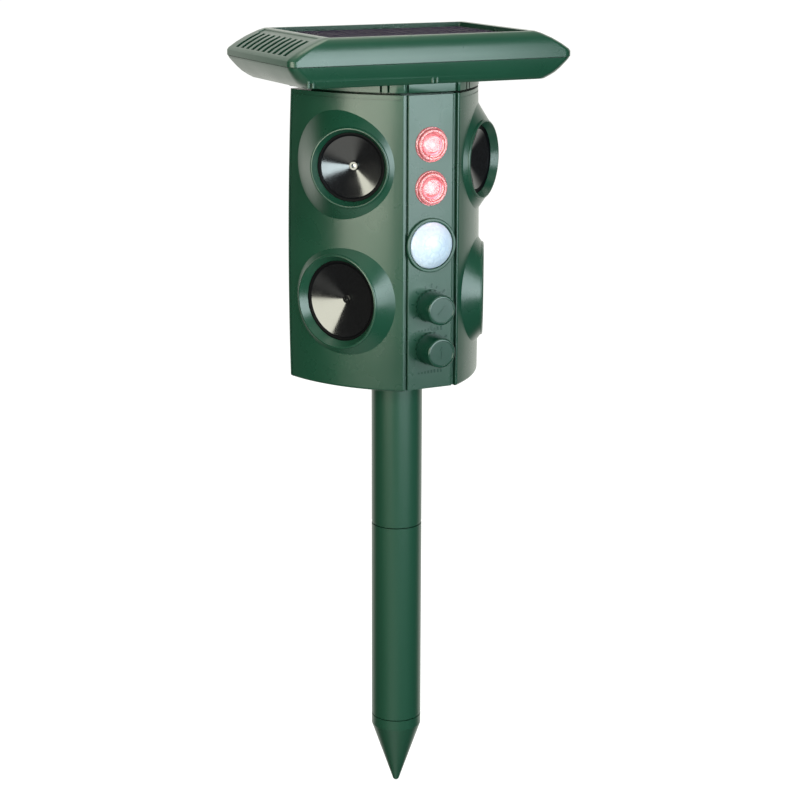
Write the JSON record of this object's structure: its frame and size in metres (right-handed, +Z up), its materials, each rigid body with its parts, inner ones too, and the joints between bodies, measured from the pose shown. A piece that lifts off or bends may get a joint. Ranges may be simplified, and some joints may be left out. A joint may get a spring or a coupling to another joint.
{
  "type": "ultrasonic pest repeller",
  "caption": "Solar garden-stake ultrasonic animal repeller with angled speakers, motion sensor, indicator lamps, two control knobs and a swivelling head.",
  "frame": {"origin": "on the stake axis at the ground line, where the upper stake tube meets the lower one", "axes": "+Z up along the stake, the front with the knobs faces -Y, +X to the right when the front is looked at"},
  "size_m": [0.1624, 0.0975, 0.4309],
  "materials": {
    "shell_green": "fine satin moulded grain",
    "solar_green": "fine satin moulded grain",
    "knob_green": "glossy",
    "stake_green": "satin extruded tube",
    "funnel_black": "high gloss",
    "ring_black": "satin",
    "lamp_red": "clear, tinted by a red lamp",
    "emitter_red": "clear red",
    "reflector": "mirror",
    "pir_white": "milky translucent",
    "steel": "zinc plated",
    "contact": "nickel plated",
    "can": "satin",
    "board_green": "solder mask",
    "black_plastic": "moulded",
    "seal_rubber": "soft",
    "cell_wrap": "shrink wrap",
    "solar_cell": "dark, anti-reflection coated",
    "solar_resin": "clear resin, soft gloss",
    "backplate_black": "fibre board",
    "lead_black": "sleeved lead"
  },
  "bodies": {
    "stake": {"stake_upper": "stake_green", "stake_lower": "stake_green", "stake_tip": "stake_green"},
    "head": {"front_housing": "shell_green", "rear_cover": "shell_green", "control_panel": "shell_green", "base_plate": "shell_green", "pir_bezel": "shell_green", "solar_top_cover": "solar_green", "solar_bottom_cover": "solar_green", "led_lens_upper": "lamp_red", "led_lens_lower": "lamp_red", "led_reflector_upper": "reflector", "led_reflector_lower": "reflector", "led_emitters": "emitter_red", "pir_lens": "pir_white", "pir_sensor": "can", "mode_switch": "black_plastic", "sensitivity_pot": "black_plastic", "control_board": "board_green", "main_board": "board_green", "board_components": "black_plastic", "board_spacers": "black_plastic", "board_screws": "steel", "body_screws": "steel", "battery_holder": "black_plastic", "battery_cells": "cell_wrap", "battery_contacts": "contact", "charge_socket": "can", "base_screws": "steel", "solar_cover_screws": "steel", "solar_backplate": "backplate_black", "panel_gasket": "seal_rubber", "solar_cells": "solar_cell", "solar_resin": "solar_resin", "housing_seal": "seal_rubber", "body_seal": "seal_rubber", "vent_screens": "ring_black", "alarm_buzzer": "black_plastic", "speaker_leads": "lead_black", "solar_lead": "lead_black", "speaker_cone_upper_left": "funnel_black", "speaker_ring_upper_left": "ring_black", "piezo_driver_upper_left": "can", "speaker_cone_upper_right": "funnel_black", "speaker_ring_upper_right": "ring_black", "piezo_driver_upper_right": "can", "speaker_cone_lower_left": "funnel_black", "speaker_ring_lower_left": "ring_black", "piezo_driver_lower_left": "can", "speaker_cone_lower_right": "funnel_black", "speaker_ring_lower_right": "ring_black", "piezo_driver_lower_right": "can"},
    "mode_knob": {"mode_knob": "knob_green", "mode_shaft": "steel"},
    "sensitivity_knob": {"sensitivity_knob": "knob_green", "sensitivity_shaft": "steel"},
    "port_cover": {"charge_port_cover": "seal_rubber"},
    "battery_door": {"battery_door": "shell_green", "door_screws": "steel"}
  },
  "joints": [
    {"name": "head_swivel", "type": "hinge", "parent": "stake", "child": "head", "pos_m": [0, 0, 0.0864], "axis": [0, 0, 1], "continuous": true},
    {"name": "mode_turn", "type": "hinge", "parent": "head", "child": "mode_knob", "pos_m": [0, -0.04, 0.1316], "axis": [0, -1, 0], "range_deg": [-90, 180]},
    {"name": "sensitivity_turn", "type": "hinge", "parent": "head", "child": "sensitivity_knob", "pos_m": [0, -0.04, 0.1086], "axis": [0, -1, 0], "range_deg": [-135, 135]},
    {"name": "charge_port_flap", "type": "hinge", "parent": "head", "child": "port_cover", "pos_m": [0, 0.0279, 0.13785], "axis": [1, 0, 0], "range_deg": [0, 92]},
    {"name": "battery_door_lift", "type": "slide", "parent": "head", "child": "battery_door", "axis": [0, 1, 0], "range_m": [0, 0.03]}
  ]
}
